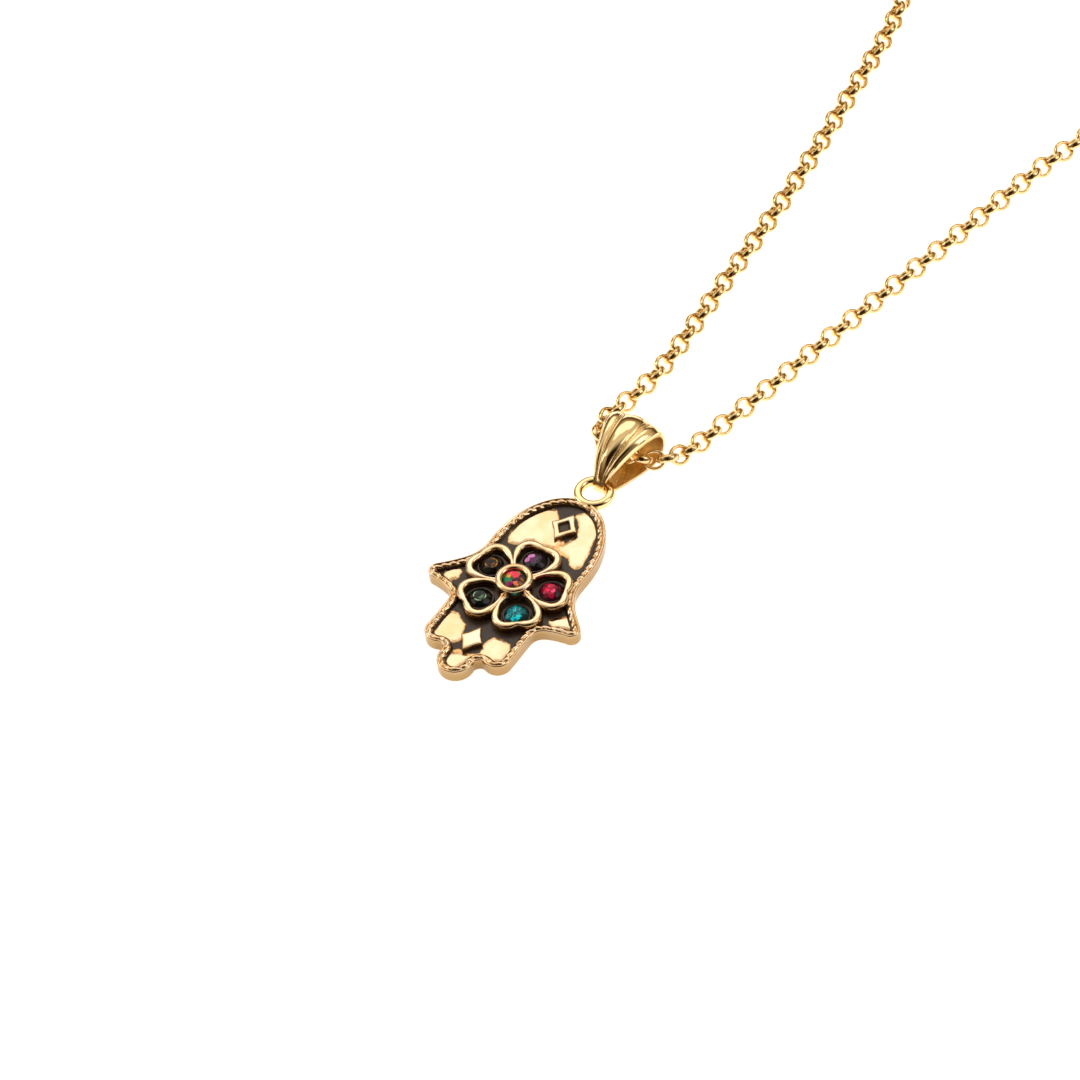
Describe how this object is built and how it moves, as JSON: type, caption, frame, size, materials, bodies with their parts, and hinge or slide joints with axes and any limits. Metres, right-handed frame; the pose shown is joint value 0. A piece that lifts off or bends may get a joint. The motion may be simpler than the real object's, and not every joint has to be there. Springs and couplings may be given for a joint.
{
  "type": "hamsa pendant on a chain necklace",
  "caption": "Cast hamsa hand pendant with a stone-set flower, on a fluted bail and a round-link chain, lying flat on a surface.",
  "frame": {"origin": "on the hand's flat back, under the centre of the flower", "axes": "+X across the hand to its right thumb as seen from the front, +Y from the fingers up to the bail and the chain, +Z out of the decorated front"},
  "size_m": [0.0787, 0.1956, 0.0052],
  "materials": {
    "cast_gold": "gold plated casting, polished on its high parts, with a dark antique patina in its recesses",
    "polished_gold": "gold plated brass, polished",
    "crystal_rainbow": "foil-backed cut crystal with a rainbow coating",
    "crystal_amethyst": "foil-backed cut crystal, pale amethyst",
    "crystal_topaz": "foil-backed cut crystal, smoked topaz",
    "crystal_dark_green": "foil-backed cut crystal, dark green",
    "crystal_teal": "foil-backed cut crystal, teal",
    "crystal_fuchsia": "foil-backed cut crystal, fuchsia"
  },
  "bodies": {
    "root": {"hand_plate": "cast_gold", "stone_centre": "crystal_rainbow", "stone_top": "crystal_amethyst", "stone_upper_left": "crystal_topaz", "stone_lower_left": "crystal_dark_green", "stone_lower_right": "crystal_teal", "stone_upper_right": "crystal_fuchsia", "bail": "cast_gold", "chain": "polished_gold", "clasp": "polished_gold"}
  },
  "joints": []
}
